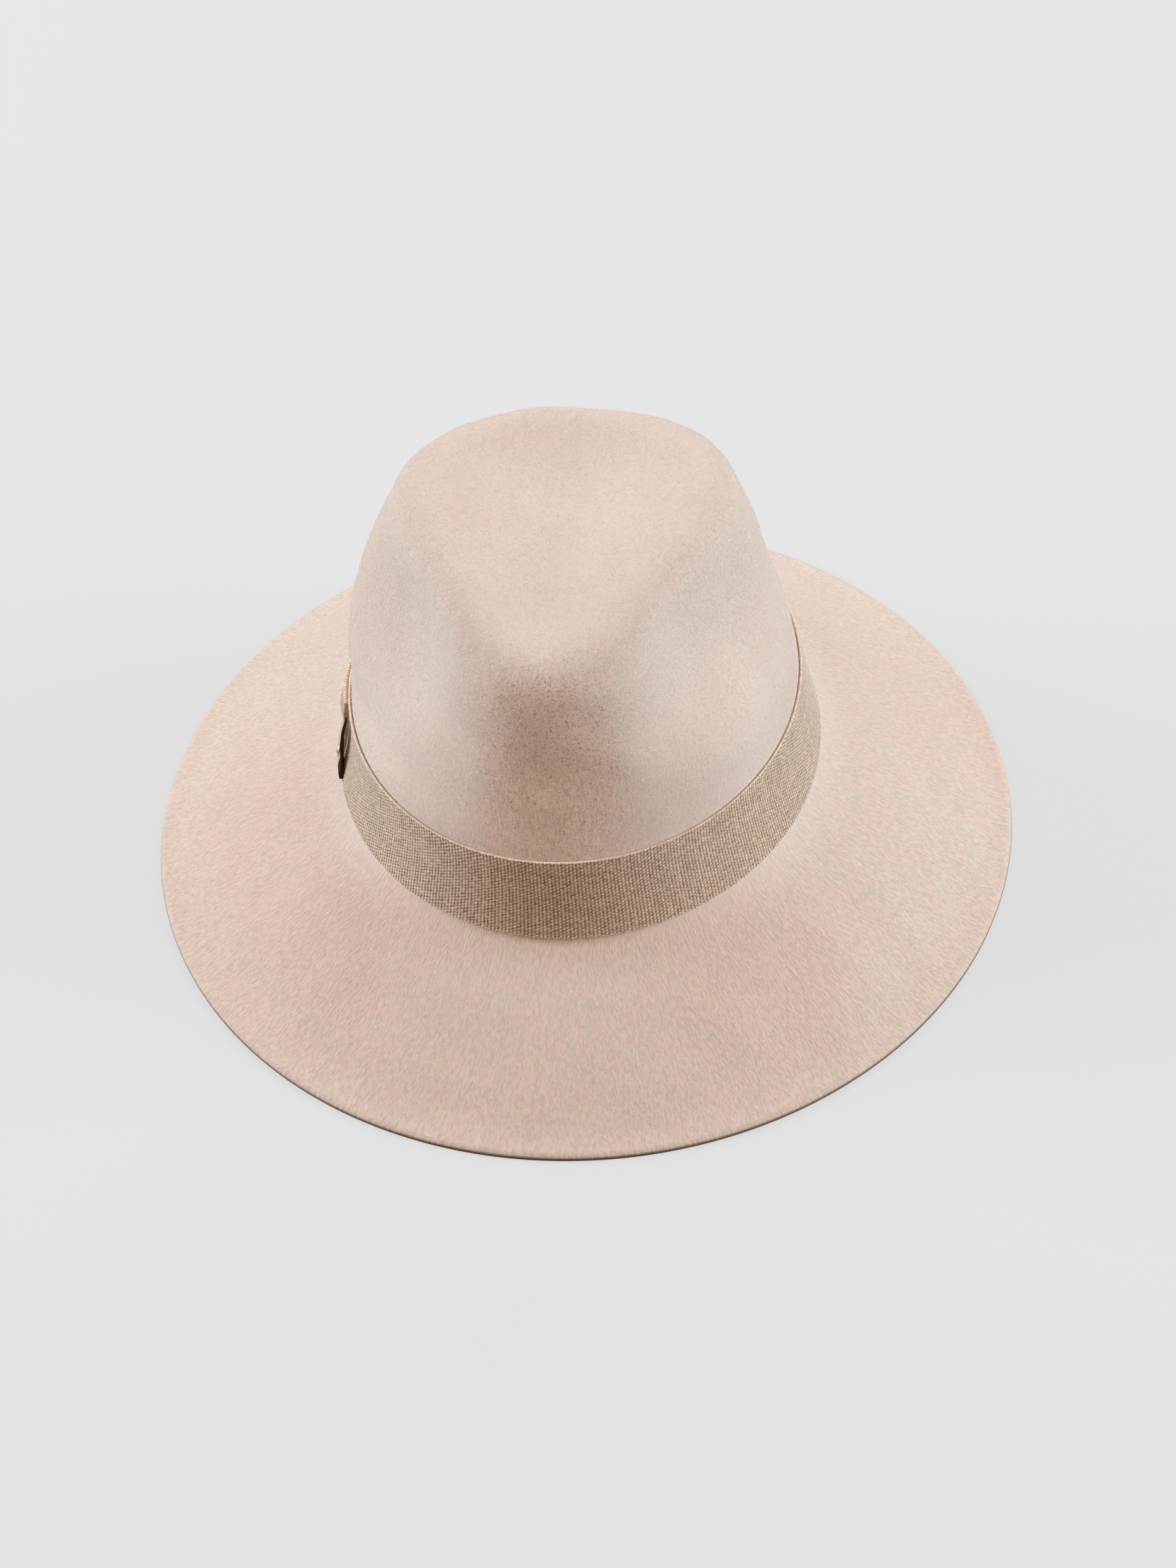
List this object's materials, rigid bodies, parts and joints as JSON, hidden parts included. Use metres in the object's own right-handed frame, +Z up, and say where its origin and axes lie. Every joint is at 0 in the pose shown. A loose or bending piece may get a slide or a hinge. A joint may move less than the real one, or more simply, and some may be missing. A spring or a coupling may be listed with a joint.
{
  "type": "wide-brimmed felt sun hat",
  "caption": "Wide-brimmed wool-felt sun hat with a pinched teardrop crown, a woven ribbon band and a small leather tab at the side.",
  "frame": {"origin": "middle of the brim's outline, at the height of the surface that the brim rests on", "axes": "+Z up through the crown, -Y towards the front of the hat, -X towards the side tab"},
  "size_m": [0.318, 0.332, 0.155],
  "materials": {
    "wool_felt": "matte brushed wool felt, pale rose beige",
    "woven_ribbon": "coarse plain weave, taupe",
    "leather": "matte dark brown leather with raw cut edges",
    "stud_metal": "satin pale gold"
  },
  "bodies": {
    "root": {"felt_body": "wool_felt", "hat_band": "woven_ribbon", "band_end": "woven_ribbon", "side_tab": "leather", "tab_stud": "stud_metal"}
  },
  "joints": []
}
